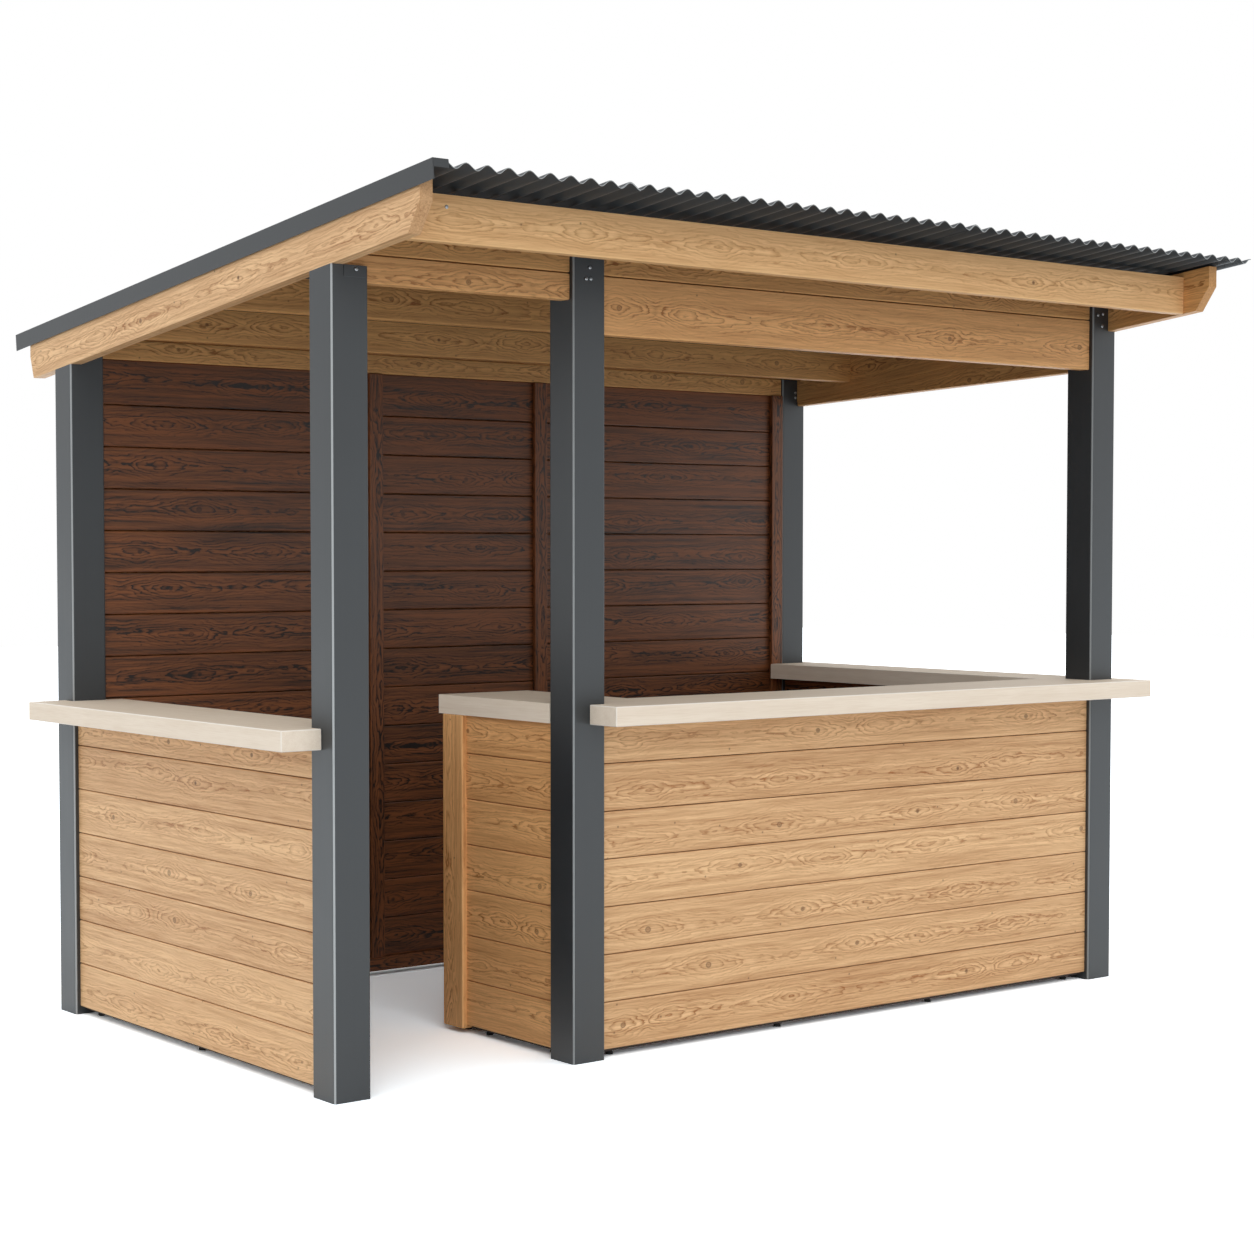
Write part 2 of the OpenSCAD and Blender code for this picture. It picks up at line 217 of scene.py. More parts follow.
def close_material(start, height, depth, **sockets):
    """The surface shader, with a bump of a depth from a height, and the output."""
    bump = start.node("Bump", {}, {"Height": height, "Distance": depth, "Strength": 1.0})
    settings = {name.replace("_", " "): value for name, value in sockets.items()}
    shader = start.node("BsdfPrincipled", {}, {**settings, "Normal": bump})
    start.node("OutputMaterial", {}, {"Surface": shader})


def mixed(amount, first, second):
    """Two colours mixed by an amount."""
    settings = {"data_type": "RGBA", "blend_type": "MIX"}
    return amount.node("Mix", settings, {0: amount, 6: first, 7: second}, 2)


def ramp(value, *stops):
    """A value through a grey ramp, whose stops are places and levels."""
    return value.node("ValToRGB", {"stops": stops}, {0: value})


def sum_of(operation, value):
    """A Math node with one value."""
    return value.node("Math", {"operation": operation}, {0: value})


def mound(distance, fade):
    """1 in the middle, and less with the square of a distance."""
    return sum_of("EXPONENT", distance * distance * -fade)


def decay(distance, fade):
    """1 at the start, and less with a distance."""
    return sum_of("EXPONENT", distance * -fade)


def over(value, limit):
    """1 where a value is over a limit, else 0."""
    return value.node("Math", {"operation": "GREATER_THAN"}, {0: value, 1: limit})


def between(low, high, share):
    """A value from low to high, by a share from 0 to 1."""
    return low + share * (high - low)


def stored(start, name, out="Fac"):
    """A level that was stored on a piece's faces or points."""
    return start.node("Attribute", {"attribute_name": name}, {}, out)


def log_place(start):
    """Metres along the grain, across it from the middle, and in from the face."""
    u = start.node("SeparateXYZ", {}, {0: stored(start, "grain", "Vector")}, "X")
    return u, u.other("Y"), u.other("Z")


def noise(u, v, w, along, across, detail):
    """Noise that is stretched along the grain."""
    place = u.node("CombineXYZ", {}, {0: u * along, 1: v * across, 2: w * across})
    return u.node("TexNoise", {}, {"Vector": place, "Scale": 1.0, "Detail": detail})


def speckle(start, scale, detail):
    """Noise on a piece's own coordinates."""
    place = start.node("TexCoord", {}, {}, "Object")
    return start.node("TexNoise", {}, {"Vector": place, "Scale": scale, "Detail": detail})


# Timber. Lengths are in metres, blunts in square metres, and fades per metre or per square metre
RING = 0.0098
RING_WAVER = 0.026
LATE_GROWTH = ((0.0, 0.1), (0.25, 0.0), (0.62, 0.35), (0.86, 1.0), (0.95, 0.6), (1.0, 0.1))
LATE_MEAN = 0.3
HEART_WANDER = 0.06
HEART_SWELL = 0.055
HEART_FADE = 1300.0
HEART_BLUNT = 0.0001
HEART_DEPTH = 0.15
EYES_PER_METRE = 1.9
EYE_SCATTER = 0.75
EYE_LOW, EYE_HIGH = 0.03, 0.05
EYE_FADE = 8.5
EYE_BLUNT = 0.0008
FIGURE_FADE = 4.0
STREAK_BEND = 0.012
KNOT_SMALL, KNOT_LARGE = 0.005, 0.010
KNOT_SQUASH = 1.3
KNOT_RIM = 0.0022
KNOT_LUCK = 0.4
PITH_FADE = 90000.0
PINS_PER_METRE = 5.0
PIN_FADE = 4600.0
PIN_LUCK = 0.55

# How strongly each of them shows in the timber's colour
FIGURE_SHADE = 1.6
FIBRE_SHADE = 0.65
STREAK_FIBRES = 0.15
TONE_SHADE = 0.2
END_SHADE = 0.15
END_FADE = 0.75
# How much the rounded edges are lightened, a painted highlight
ARRIS_HIGHLIGHT = 0.22
KNOT_SHADE = 0.28
RIM_SHADE = 0.5
PITH_SHADE = 0.9
PIN_SHADE = 0.8


def eyes_along(u, feature):
    """Scattered eyes along a board, as how far off the nearest one (F1) or the next one (F2) is."""
    return u.node("TexVoronoi", {"voronoi_dimensions": "1D", "feature": feature},
                  {"W": u * EYES_PER_METRE, "Scale": 1.0, "Randomness": EYE_SCATTER})


def growth_lines(u, v, w, side, near, size, flame):
    """Dark lines of late growth: rings round the eyes and arches between them, strongest at the heart."""
    far = eyes_along(u, "F2") / EYES_PER_METRE
    blunt = (near * near + EYE_BLUNT) ** 0.5
    eye = (decay(blunt, EYE_FADE) - decay(far, EYE_FADE)) * between(EYE_LOW, EYE_HIGH, size)
    off = (side * side + w * w * HEART_DEPTH + HEART_BLUNT) ** 0.5
    heart = mound(side, HEART_FADE)
    swell = noise(u, v * 0, w * 0, along=5.0, across=1.0, detail=2.0)
    height = off - eye + heart * (swell - 0.5) * HEART_SWELL + (flame - 0.5) * RING_WAVER
    phase = height / RING
    late = ramp(sum_of("FRACT", phase), *LATE_GROWTH)
    strength = u.node("TexWhiteNoise", {"noise_dimensions": "1D"}, {"W": sum_of("FLOOR", phase)})
    patch = noise(u, v, w, along=2.2, across=14.0, detail=2.0)
    figure = between(0.15, 1.45, heart * decay(near, FIGURE_FADE))
    return (late - LATE_MEAN) * between(0.35, 1.15, strength) * figure * between(0.6, 1.4, patch)


def knots(side, near, luck, size):
    """Round knots in some of the eyes: their wood, their dark rim and their pith."""
    present = over(luck, KNOT_LUCK)
    reach = (near * near + side * side * KNOT_SQUASH) ** 0.5
    radius = between(KNOT_SMALL, KNOT_LARGE, size)
    core = reach.node("MapRange", {"interpolation_type": "SMOOTHSTEP"},
                      {0: reach, 1: radius * 1.2, 2: radius * 0.7, 3: 0.0, 4: 1.0})
    rim = mound((reach - radius) / KNOT_RIM, 1.0)
    pith = mound(reach, PITH_FADE)
    return present * core, present * rim, present * pith


def pin_knots(u, v):
    """Knots like pin heads, scattered over a face."""
    place = u.node("CombineXYZ", {}, {0: u * PINS_PER_METRE, 1: v * PINS_PER_METRE})
    pins = u.node("TexVoronoi", {"voronoi_dimensions": "2D"}, {"Vector": place, "Scale": 1.0})
    luck = u.node("SeparateColor", {}, {0: pins.other("Color")}, "Red")
    return over(luck, PIN_LUCK) * mound(pins, PIN_FADE)


def wood(name, pale, line, knot, roughness, streaks, figure, depth=0.34):
    """Flat-sawn boards: a figure of eyes and arches, straight streaks beside it, knots and fine fibres."""
    material, start = start_material(name)
    tone = stored(start, "tone")
    ends = stored(start, "ends")
    arris = stored(start, "arris")
    u, v, w = log_place(start)

    wander = noise(u, v * 0, w * 0, along=1.3, across=1.0, detail=1.0)
    side = v - (wander - 0.5) * HEART_WANDER
    eyes = eyes_along(u, "F1")
    near = eyes / EYES_PER_METRE
    luck = u.node("SeparateColor", {}, {0: eyes.other("Color")}, "Red")
    size = luck.other("Green")

    flame = noise(u, v, w, along=14.0, across=55.0, detail=3.0)
    fibre = noise(u, v, w, along=7.0, across=250.0, detail=3.0)
    streak = noise(u, v + (flame - 0.5) * STREAK_BEND, w, along=1.6, across=75.0, detail=4.0)
    lines = growth_lines(u, v, w, side, near, size, flame)
    core, rim, pith = knots(side, near, luck, size)

    flat = 1.0 - ends * END_FADE
    shade = depth + lines * FIGURE_SHADE * figure * (1.0 - core) * flat + (0.5 - streak) * streaks * flat
    shade = shade + (0.5 - fibre) * (FIBRE_SHADE + streaks * STREAK_FIBRES)
    # Random tone per board, darker end grain, and rounded edges lightened as a painted highlight
    shade = shade + (tone - 0.5) * TONE_SHADE + ends * END_SHADE - arris * ARRIS_HIGHLIGHT
    dark = core * KNOT_SHADE + rim * RIM_SHADE + pith * (1.0 - size) * PITH_SHADE
    dark = (dark + pin_knots(u, v) * PIN_SHADE) * flat
    close_material(
        start, height=lines * 0.25 + fibre * 0.6 - rim * 0.4, depth=0.0006,
        Base_Color=mixed(dark, mixed(shade, pale, line), knot),
        Roughness=roughness + (0.5 - fibre) * 0.25 + core * 0.05, Specular_IOR_Level=0.35,
    )
    return material


# How fast the countertops' painted top shade fades with depth, per metre, and the bright steel of the
# painted highlights and bare cut edges
TOP_SHADE_FADE = 2000.0
BARE_AND_HIGHLIGHT_STEEL = paint(214, 218, 219)


def limed_top():
    """Pale countertop boards with a faint grain and small flecks, darker on their top face as painted shade
    and lighter on their rounded edges as a painted highlight.
    """
    material, start = start_material("limed_top")
    u, v, w = log_place(start)
    streak = noise(u, v, w, along=2.2, across=60.0, detail=4.0)
    fibre = noise(u, v, w, along=14.0, across=320.0, detail=3.0)
    cloud = noise(u, v, w, along=5.0, across=5.0, detail=4.0)
    # Painted shade: the top face is darkened, fading over about a millimetre below it
    painted_top_shade = decay(w, TOP_SHADE_FADE)
    veil = mixed((streak - 0.32) * 1.1 + (cloud - 0.5) * 0.7, paint(250, 237, 219), paint(232, 215, 194))
    color = mixed((fibre - 0.45) * 0.7 + painted_top_shade * 0.32, veil, paint(214, 192, 164))
    # Painted highlight: the rounded edges are mixed toward near white
    color = mixed(stored(start, "arris") * 0.8, color, paint(255, 248, 238))
    close_material(
        start, height=fibre * 0.5 + streak * 0.4, depth=0.0003,
        Base_Color=color, Roughness=0.5 + streak * 0.2, Specular_IOR_Level=0.35,
    )
    return material


def powder_coat(name, color, roughness, peel, gloss):
    """A matt coat on steel with a fine orange peel and slight clouding, mixed toward bright steel where it
    is marked to shine: a painted highlight on the posts' front corners, and bare metal with a painted
    highlight on the sheets' front cut edges.
    """
    material, start = start_material(name)
    shine = stored(start, "shine")
    fine = speckle(start, scale=900.0, detail=2.0)
    cloud = speckle(start, scale=3.0, detail=3.0)
    place = start.node("TexCoord", {}, {}, "Object")
    drawn = start.node("Mapping", {}, {"Vector": place, "Scale": (160.0, 160.0, 1.2)})
    brush = start.node("TexNoise", {}, {"Vector": drawn, "Scale": 1.0, "Detail": 3.0})
    deeper = [c * 0.8 for c in color[:3]] + [1]
    lighter = [c * 1.2 for c in color[:3]] + [1]
    tint = mixed((cloud - 0.35) * 1.2 + (brush - 0.5) * 0.5, deeper, lighter)
    close_material(
        start, height=fine * 0.6 + brush * 0.4, depth=peel,
        # Where marked to shine: bright steel, partly metallic, as a painted highlight
        Base_Color=mixed(shine, tint, BARE_AND_HIGHLIGHT_STEEL), Metallic=shine * 0.8, Specular_IOR_Level=gloss,
        Roughness=roughness + (cloud - 0.5) * 0.16 + (brush - 0.5) * 0.1,
    )
    return material


def rubber():
    """Black crumb rubber."""
    material, start = start_material("rubber")
    crumb = speckle(start, scale=700.0, detail=3.0)
    tint = mixed(crumb, paint(18, 18, 18), paint(34, 34, 33))
    close_material(start, height=crumb, depth=0.0004, Base_Color=tint, Roughness=0.75 + crumb * 0.2)
    return material


def zinc():
    """Bright plated screws."""
    material, start = start_material("zinc")
    spangle = speckle(start, scale=500.0, detail=3.0)
    tint = mixed(spangle, paint(112, 114, 116), paint(176, 178, 180))
    close_material(start, height=spangle, depth=0.0001, Base_Color=tint, Metallic=1.0,
                   Roughness=0.25 + spangle * 0.2)
    return material


def dark_rail_brown():
    """A plain near-black brown for the rails inside the panels."""
    material, start = start_material("dark_rail_brown")
    blotch = speckle(start, scale=30.0, detail=4.0)
    tint = mixed(blotch, paint(30, 20, 15), paint(52, 34, 25))
    close_material(start, height=blotch, depth=0.0004, Base_Color=tint, Roughness=0.6 + blotch * 0.2)
    return material


OAK = wood("light_oak", paint(247, 206, 156), paint(160, 101, 50), paint(96, 58, 29),
           roughness=0.55, streaks=1.15, figure=0.62)
# A paler copy of the oak, as painted light on the front fascia in the roof's shade
FASCIA_LIT_OAK = wood("painted_light_oak", paint(253, 207, 149), paint(184, 124, 66), paint(116, 73, 38),
                roughness=0.55, streaks=0.9, figure=0.65, depth=0.28)
# A warmer copy of the oak, as painted warm shade on the return's boards and end post and on the front
# headers
ENTRY_SHADE_OAK = wood("painted_entry_shade_oak", paint(252, 196, 132), paint(168, 106, 54), paint(112, 70, 38),
                 roughness=0.55, streaks=1.0, figure=0.85, depth=0.30)
# A warmer, darker copy of the oak, as painted shade under the roof: the frame's beams, the gable board and
# the right rake board
SHADE_OAK = wood("painted_shade_oak", paint(236, 182, 117), paint(148, 93, 46), paint(104, 64, 34),
                roughness=0.55, streaks=1.0, figure=0.8)
STAINED = wood("stained_boards", paint(130, 77, 42), paint(24, 13, 7), paint(22, 13, 8),
               roughness=0.45, streaks=2.4, figure=1.2, depth=0.40)
LIMED = limed_top()
ANTHRACITE = powder_coat("anthracite_coat", paint(45, 49, 52), roughness=0.45, peel=0.00012, gloss=0.58)
SHEET_COAT = powder_coat("sheet_coat", paint(52, 59, 64), roughness=0.5, peel=0.00008, gloss=0.3)
RUBBER = rubber()
ZINC = zinc()
RAIL_DARK = dark_rail_brown()


# Modelling

def only(piece):
    """Selects one piece and nothing else."""
    bpy.ops.object.select_all(action="DESELECT")
    piece.select_set(True)
    bpy.context.view_layer.objects.active = piece


def name_piece(name):
    """Names the piece that was just made, and its mesh."""
    piece = bpy.context.object
    piece.name = piece.data.name = name
    return piece


def block(name, lo, hi):
    """A cube between two corners."""
    bpy.ops.object.select_all(action="DESELECT")
    lo, hi = Vector(lo), Vector(hi)
    bpy.ops.mesh.primitive_cube_add(size=1, location=(lo + hi) / 2, scale=hi - lo)
    bpy.ops.object.transform_apply()
    return name_piece(name)


def edit(piece, kind, test, operator, **settings):
    """Selects vertices, edges or faces that pass a test, and runs an operator on them in edit mode."""
    only(piece)
    bpy.ops.object.mode_set(mode="EDIT")
    bpy.ops.mesh.select_mode(type=kind)
    bpy.ops.mesh.select_all(action="DESELECT")
    shape = bmesh.from_edit_mesh(piece.data)
    for part in {"VERT": shape.verts, "EDGE": shape.edges, "FACE": shape.faces}[kind]:
        if test(part):
            part.select_set(True)
    shape.select_flush_mode()
    bmesh.update_edit_mesh(piece.data)
    operator(**settings)
    bpy.ops.object.mode_set(mode="OBJECT")


def everything(part):
    return True


def cut(piece, point, away):
    """Cuts off what lies beyond a plane and closes the cut."""
    edit(piece, "FACE", everything, bpy.ops.mesh.bisect,
         plane_co=point, plane_no=away, use_fill=True, clear_outer=True)


def cut_slope(piece, first, second, above):
    """Cuts along a line through two (y, z) points, above it or below it."""
    run = Vector((0, second[0] - first[0], second[1] - first[1]))
    away = ALONG_X.cross(run).normalized()
    if (away.z > 0) != above:
        away.negate()
    cut(piece, (0, first[0], first[1]), away)


def cut_roof(piece):
    """Cuts a piece off at the roof plane."""
    cut(piece, (0, entry_lo.y, entry_hi.z), OFF_ROOF)


def apply_modifier(piece, kind, **settings):
    only(piece)
    modifier = piece.modifiers.new(kind.lower(), kind)
    for name, value in settings.items():
        setattr(modifier, name, value)
    bpy.ops.object.modifier_apply(modifier=modifier.name)


def carve(piece, lo, hi):
    """Takes a block's room out of a piece."""
    carve_with(piece, block("cutter", lo, hi))


def carve_with(piece, cutter):
    apply_modifier(piece, "BOOLEAN", object=cutter, operation="DIFFERENCE", solver="EXACT")
    bpy.data.objects.remove(cutter)


def smooth(piece, degrees):
    """Shades a piece smooth over edges up to an angle."""
    only(piece)
    bpy.ops.object.shade_smooth_by_angle(angle=math.radians(degrees))


def soften(piece, width, segments=3):
    """Rounds a piece's sharp edges, smooths the rounding, and marks it, which the wood and countertop
    materials lighten as a painted highlight.
    """
    apply_modifier(piece, "BEVEL", width=width, segments=segments, limit_method="ANGLE",
                   angle_limit=math.radians(SHARP), use_clamp_overlap=True)
    smooth(piece, SMOOTH_EDGES)
    apply_modifier(piece, "WEIGHTED_NORMAL", keep_sharp=True)
    mark(piece, "arris", lambda face: strip_width(piece, face) < width * 1.5)


def strip_width(piece, face):
    """How wide a face is across its longest edge."""
    ends = [[piece.data.vertices[k].co for k in pair] for pair in face.edge_keys]
    return face.area / max((b - a).length for a, b in ends)


def mark(piece, name, level):
    """Stores a level for each face of a piece, for its material to read."""
    layer = piece.data.attributes.new(name, "FLOAT", "FACE")
    for item, face in zip(layer.data, piece.data.polygons):
        item.value = level(face)


def runs_along(edge, axis):
    run = edge.verts[1].co - edge.verts[0].co
    return run.length > 0 and abs(run.normalized()[axis]) > ALIGNED


def copied(piece, shift):
    """A copy of a piece with its own mesh, moved by a shift."""
    only(piece)
    bpy.ops.object.duplicate()
    bpy.ops.transform.translate(value=shift)
    bpy.ops.object.transform_apply()
    return bpy.context.object


def joined(name, pieces):
    """Several pieces as one."""
    only(pieces[0])
    for piece in pieces:
        piece.select_set(True)
    bpy.ops.object.join()
    return name_piece(name)


def repeated(name, first, places):
    """A piece that was made at the first of some places, and copies of it at the others, as one."""
    return joined(name, [first] + [copied(first, place - places[0]) for place in places[1:]])


def raised_disc(name, place, radius, rise, neck, height):
    """A disc with a narrower boss on it, from its underside's middle up."""
    bpy.ops.object.select_all(action="DESELECT")
    bpy.ops.mesh.primitive_cylinder_add(
        vertices=12, radius=radius, depth=rise, location=place + UP * rise / 2)
    piece = name_piece(name)
    bpy.ops.object.transform_apply()
    edit(piece, "FACE", lambda face: face.normal.z > FACING, bpy.ops.mesh.inset, thickness=neck)
    edit(piece, "FACE", lambda face: face.normal.z > FACING and len(face.verts) > 4,
         bpy.ops.mesh.extrude_region_move, TRANSFORM_OT_translate={"value": (0, 0, height)})
    return piece


# How far a board's heart lies off its middle, and how long the logs are, in metres
HEART_OFF = 0.018
LOG = 60.0


def lay_grain(piece, along, across, inward):
    """Places a piece in its log: metres along the grain, across it from the middle, and in from the face."""
    places = [v.co for v in piece.data.vertices]
    sides = [p.dot(across) for p in places]
    depths = [p.dot(inward) for p in places]
    middle = (min(sides) + max(sides)) / 2 + chance.uniform(-HEART_OFF, HEART_OFF)
    surface = min(depths)
    start = chance.uniform(0, LOG)
    grain = piece.data.attributes.new("grain", "FLOAT_VECTOR", "POINT")
    for item, place, side, depth in zip(grain.data, places, sides, depths):
        item.vector = (place.dot(along) + start, side - middle, depth - surface)
    tone = piece.data.attributes.new("tone", "FLOAT", "POINT")
    shade = chance.random()
    for item in tone.data:
        item.value = shade
    mark(piece, "ends", lambda face: abs(face.normal.dot(along)) > END_FACING)
    return piece


def dress(piece, finish, slot, *stands_for):
    """Gives a finished piece its material and its body, and hides the nodes that it stands for; the slot is
    not used.
    """
    piece.data.materials.clear()
    piece.data.materials.append(finish)
    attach(piece, "root")
    if stands_for:
        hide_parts(*stands_for)
    return piece


# Boarding

def board(lo, hi, axis, out):
    """One board along an axis, whose long edges are chamfered on the face that points out."""
    piece = block("board", lo, hi)
    depth = 1 - axis
    face = hi[depth] if out > 0 else lo[depth]

    def on_face(edge):
        return runs_along(edge, axis) and all(abs(v.co[depth] - face) < TOUCH for v in edge.verts)

    edit(piece, "EDGE", on_face, bpy.ops.mesh.bevel, offset=BOARD_CHAMFER, segments=2, profile=0.55)
    return piece


def boarding(name, node, axis, out, pitch, finish, slot, joints=()):
    """Rows of boards in place of a grooved panel, in bays that meet at the joints."""
    lo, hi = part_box(node)
    rows = round((hi.z - lo.z) / pitch)
    starts = [lo[axis]] + [joint + BOARD_GAP / 2 for joint in joints]
    ends = [joint - BOARD_GAP / 2 for joint in joints] + [hi[axis]]
    along = (ALONG_X, ALONG_Y)[axis]
    inward = (ALONG_X, ALONG_Y)[1 - axis] * -out
    boards = []
    for start, end in zip(starts, ends):
        first_lo, first_hi = lo.copy(), hi.copy()
        first_lo[axis], first_hi[axis] = start, end
        first_hi.z = lo.z + pitch - BOARD_GAP
        first = board(first_lo, first_hi, axis, out)
        boards += [first] + [copied(first, (0, 0, row * pitch)) for row in range(1, rows - 1)]
        first_lo.z, first_hi.z = lo.z + (rows - 1) * pitch, hi.z
        boards.append(board(first_lo, first_hi, axis, out))
    for piece in boards:
        lay_grain(piece, along, UP, inward)
    return dress(joined(name, boards), finish, slot, node)


battens_x = sorted({round(v.co.x, 4) for v in nodes["back_battens"].data.vertices})
bay_joints = [(battens_x[0] + battens_x[1]) / 2, (battens_x[2] + battens_x[3]) / 2]

boarding("front_boards", "front_cladding", 0, -1, BOARD, OAK, "light_wood")
boarding("left_boards", "left_cladding", 1, -1, BOARD, OAK, "light_wood")
boarding("right_boards", "right_cladding", 1, 1, BOARD, OAK, "light_wood")
boarding("return_boards", "return_cladding", 1, -1, BOARD, ENTRY_SHADE_OAK, "light_wood")
boarding("back_boards", "back_cladding", 0, 1, WALL_BOARD, OAK, "light_wood", bay_joints)
boarding("front_inner_boards", "front_lining", 0, 1, BOARD, STAINED, "dark_wood")
boarding("left_inner_boards", "left_lining", 1, 1, BOARD, STAINED, "dark_wood")
boarding("right_inner_boards", "right_lining", 1, -1, BOARD, STAINED, "dark_wood")
boarding("return_inner_boards", "return_lining", 1, 1, BOARD, STAINED, "dark_wood")
boarding("back_wall_boards", "back_lining", 0, -1, WALL_BOARD, STAINED, "dark_wood", bay_joints)


# Posts

def rake_wedge(lo, hi):
    """The room that a rake board takes over its underside, between two corners in plan."""
    wedge = block("cutter", (lo.x, lo.y - RAKE, lo.z), (hi.x, hi.y + RAKE, hi.z + RAKE))
    cut_slope(wedge, (lo.y, rake_under(lo.y)), (hi.y, rake_under(hi.y)), above=False)
    return wedge


def steel_post(name, node, painted_highlight, under_left_rake=False, under_right_rake=False):
    """A square tube with rolled corners, cut to the roof and its rake board. Its front corner carries a
    painted highlight.
    """
    lo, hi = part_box(node)
    piece = block(name, lo, hi)
    edit(piece, "EDGE", lambda edge: runs_along(edge, 2), bpy.ops.mesh.bevel, offset=POST_RADIUS, segments=8)
    cut_roof(piece)
    low = Vector((lo.x, lo.y, lo.z + FAR))
    if under_left_rake:
        carve_with(piece, rake_wedge(low - ALONG_X * RAKE, Vector((lo.x + RAKE, hi.y, hi.z))))
    if under_right_rake:
        carve_with(piece, rake_wedge(Vector((hi.x - RAKE, low.y, low.z)), hi + ALONG_X * RAKE))
    smooth(piece, SMOOTH_POSTS)
    apply_modifier(piece, "WEIGHTED_NORMAL", keep_sharp=True)
    # Painted highlight: the front left corner's faces are mixed toward bright steel
    mark(piece, "shine", lambda face: painted_highlight if face.normal.dot(FRONT_CORNER) > CORNER_FACING else 0.0)
    return dress(piece, ANTHRACITE, "posts", node)


# Each post's painted highlight on its front corner, from 0 to 1
steel_post("steel_post_front_left", "post_front_left", painted_highlight=0.5, under_left_rake=True)
steel_post("steel_post_entry", "post_entry", painted_highlight=0.33)
steel_post("steel_post_front_right", "post_front_right", painted_highlight=0.25, under_right_rake=True)
steel_post("steel_post_back_left", "post_back_left", painted_highlight=0.42, under_left_rake=True)
steel_post("steel_post_back_right", "post_back_right", painted_highlight=0.2, under_right_rake=True)


# Fasteners

def dome_screw(name, place):
    """A screw head on a front face: a disc with a domed edge and a recess for the driver."""
    bpy.ops.object.select_all(action="DESELECT")
    bpy.ops.mesh.primitive_cylinder_add(
        vertices=16, radius=SCREW, depth=SCREW_RISE, location=place - ALONG_Y * SCREW_RISE / 2,
        rotation=(math.pi / 2, 0, 0))
    bpy.ops.object.transform_apply()
    piece = name_piece(name)
    front = place.y - SCREW_RISE

    def on_front(face):
        return all(v.co.y < front + TOUCH for v in face.verts)

    def in_rim(face):
        return on_front(face) and len(face.verts) > 4

    edit(piece, "FACE", on_front, bpy.ops.mesh.bevel, offset=SCREW_DOME, segments=3)
    edit(piece, "FACE", on_front, bpy.ops.mesh.inset, thickness=RECESS_RIM)
    edit(piece, "FACE", in_rim, bpy.ops.mesh.extrude_region_move,
         TRANSFORM_OT_translate={"value": ALONG_Y * RECESS_DEPTH})
    return piece


def bracket_plate(name):
    """The thin plate that ties the entry's header to the front left post."""
    piece = block(name, (short_lo.x + RAKE, short_lo.y - PLATE, short_hi.z - PLATE_HEIGHT),
                  (short_hi.x - POST_RADIUS, short_lo.y, short_hi.z))
    soften(piece, PLATE / 3, 2)
    return dress(piece, ANTHRACITE, "posts")


def frame_screws(name):
    """The screws on the posts and the fascia."""
    places = []
    for node, rise, spots in SCREW_PLACES:
        lo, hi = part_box(node)
        places += [Vector((lo.x + across, lo.y - rise, hi.z - down)) for across, down in spots]
    piece = repeated(name, dome_screw(name, places[0]), places)
    smooth(piece, SMOOTH_ROUNDS)
    return dress(piece, ZINC, "posts")


bracket_plate("header_bracket")
frame_screws("frame_screws")


# Countertops

def post_room(node):
    """The room that a post takes out of a countertop."""
    lo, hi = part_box(node)
    gap = Vector((TOP_GAP, TOP_GAP, 0))
    return lo - gap, hi + gap


def countertop(name, node, along, rooms):
    """A countertop with rooms cut out for the posts and for what it meets."""
    lo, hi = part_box(node)
    piece = block(name, lo, hi)
    for room_lo, room_hi in rooms:
        carve(piece, room_lo, room_hi)
    soften(piece, TOP_EDGE)
    across = ALONG_Y if along == ALONG_X else ALONG_X
    lay_grain(piece, along, across, -UP)
    return dress(piece, LIMED, "countertop", node)


back_left_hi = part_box("post_back_left")[1]
back_right_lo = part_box("post_back_right")[0]
wall_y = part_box("back_lining")[0].y - TOP_GAP
batten_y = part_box("back_battens")[0].y - TOP_GAP
return_lo, return_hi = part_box("return_countertop")
front_lo, front_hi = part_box("front_countertop")

countertop("left_top", "left_countertop", ALONG_Y, [
    post_room("post_front_left"), post_room("post_back_left"),
    ((short_hi.x, short_lo.y - FAR, 0), (back_right_lo.x, short_hi.y + TOP_GAP, front_hi.z)),
    ((back_left_hi.x, wall_y, 0), (back_right_lo.x, wall_y + FAR, front_hi.z)),
])
countertop("front_top", "front_countertop", ALONG_X, [
    post_room("post_entry"), post_room("post_front_right"),
    ((front_lo.x - FAR, return_lo.y, 0), (return_hi.x, return_lo.y + FAR, front_hi.z + FAR)),
])
countertop("right_top", "right_countertop", ALONG_Y, [
    post_room("post_back_right"),
    ((back_left_hi.x, batten_y, 0), (back_right_lo.x, batten_y + FAR, front_hi.z + FAR)),
])
countertop("return_top", "return_countertop", ALONG_Y, [post_room("post_entry")])


# Timber frame

def timber(piece, node, along, across, inward, finish=SHADE_OAK, slot="light_wood"):
    """Rounds a beam's edges, lays its grain and dresses it."""
    soften(piece, BEAM_EDGE, 2)
    lay_grain(piece, along, across, inward)
    return dress(piece, finish, slot, node)


def cross_beam(name, node, roofed=True, inward=ALONG_Y, finish=SHADE_OAK, gap=0.0):
    """A beam along the front. Its top is cut to the roof where it carries sheets, or lowered by a gap."""
    lo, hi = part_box(node)
    piece = block(name, lo, hi - UP * gap)
    if roofed:
        cut(piece, (0, lo.y, hi.z), OFF_ROOF)
    return timber(piece, node, ALONG_X, UP, inward, finish)


